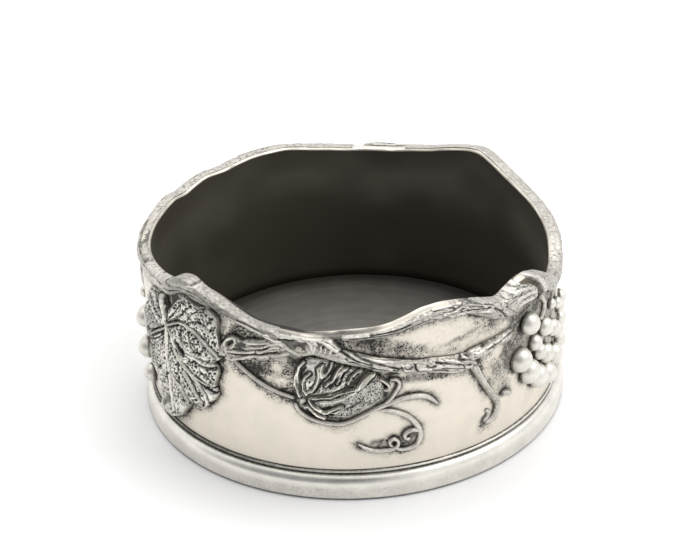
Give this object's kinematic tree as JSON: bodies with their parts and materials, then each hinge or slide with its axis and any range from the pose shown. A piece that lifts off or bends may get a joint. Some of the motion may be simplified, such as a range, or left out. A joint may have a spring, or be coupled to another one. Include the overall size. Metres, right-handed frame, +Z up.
{
  "type": "wine bottle coaster",
  "caption": "Round pewter coaster with a waved rim and applied grapevine relief, which holds a wine bottle upright on a felt-padded floor.",
  "frame": {"origin": "middle of the underside, on the axis of the wall, at table height", "axes": "+Z up along the axis of the wall, -Y towards the front of the relief, +X to its right"},
  "size_m": [0.1241, 0.123, 0.0576],
  "materials": {
    "felt": "dark wool felt",
    "floor_pewter": "plain satin pewter, dulled by use",
    "ring_pewter": "polished pewter with fine circular marks",
    "wall_pewter": "satin pewter, with dark patina and stipple round the relief",
    "vine_pewter": "cast pewter bark, bright on its ridges and dark in its cracks",
    "leaf_pewter": "cast pewter, pitted and dark between bright veins",
    "grape_pewter": "smooth polished pewter, dark round each grape"
  },
  "bodies": {
    "root": {"felt_pad": "felt", "floor_disc": "floor_pewter", "foot_ring": "ring_pewter", "wall_band": "wall_pewter", "left_rim_vine": "vine_pewter", "right_rim_vine": "vine_pewter", "front_cross_vine": "vine_pewter", "back_cross_vine": "vine_pewter", "front_side_branch": "vine_pewter", "back_side_branch": "vine_pewter", "front_twig_fork": "vine_pewter", "back_twig_fork": "vine_pewter", "left_large_leaf": "leaf_pewter", "back_large_leaf": "leaf_pewter", "left_leaf_stem": "vine_pewter", "back_leaf_stem": "vine_pewter", "front_small_leaf": "leaf_pewter", "back_small_leaf": "leaf_pewter", "front_tendril": "vine_pewter", "back_tendril": "vine_pewter", "right_grape_cluster": "grape_pewter", "left_grape_cluster": "grape_pewter", "right_grape_stem": "vine_pewter", "left_grape_stem": "vine_pewter"}
  },
  "joints": []
}
